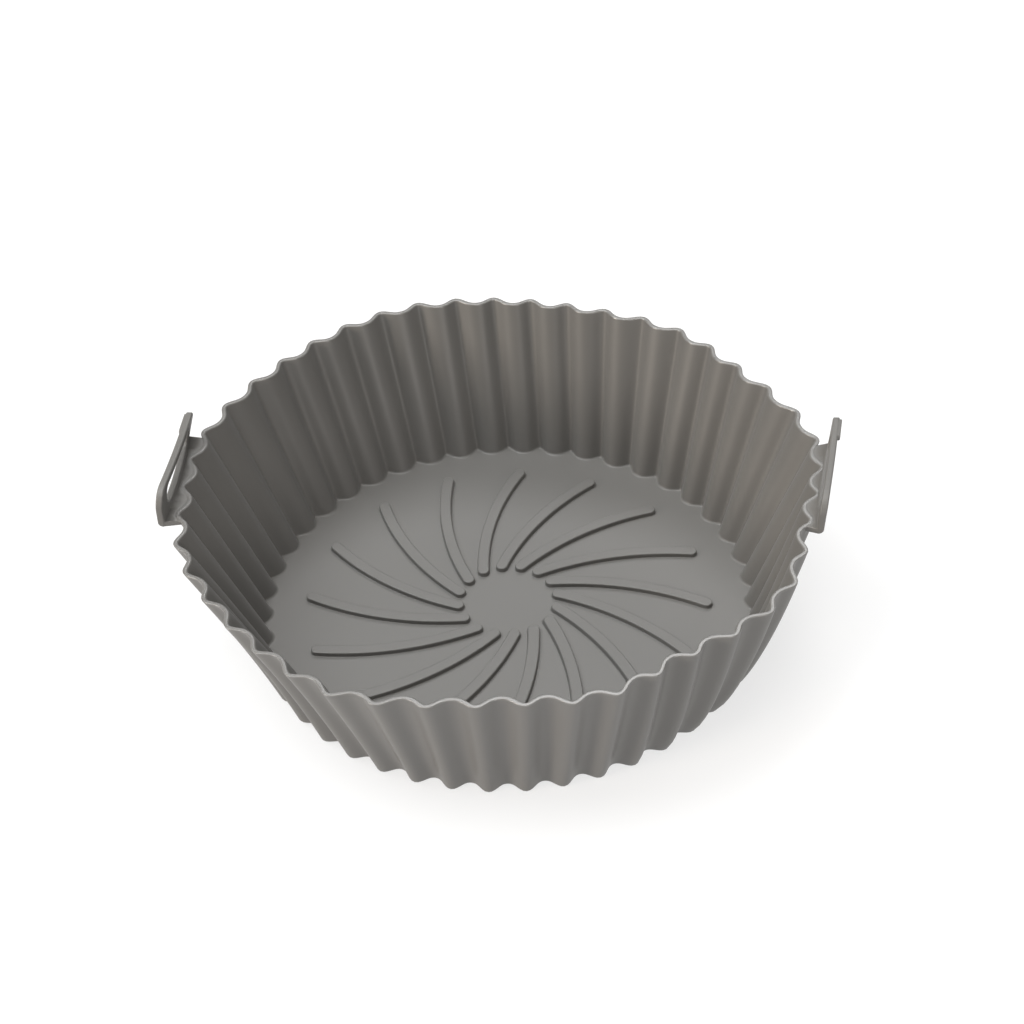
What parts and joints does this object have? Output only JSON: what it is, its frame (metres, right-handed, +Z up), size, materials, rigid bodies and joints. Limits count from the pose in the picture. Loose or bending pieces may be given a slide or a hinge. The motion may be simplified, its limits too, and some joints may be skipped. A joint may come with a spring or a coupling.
{
  "type": "air fryer liner",
  "caption": "Round one-piece silicone air fryer liner with flared fluted wall, swirl-ribbed floor and two upright slotted ears.",
  "frame": {"origin": "centre of the flat underside, on the axis of the bowl", "axes": "+Z up along the axis of the bowl, X through both ears, Y across the bowl"},
  "size_m": [0.2098, 0.1998, 0.0643],
  "materials": {
    "silicone": "matt grey moulded silicone with a faint soft sheen"
  },
  "bodies": {
    "root": {"liner": "silicone"}
  },
  "joints": []
}
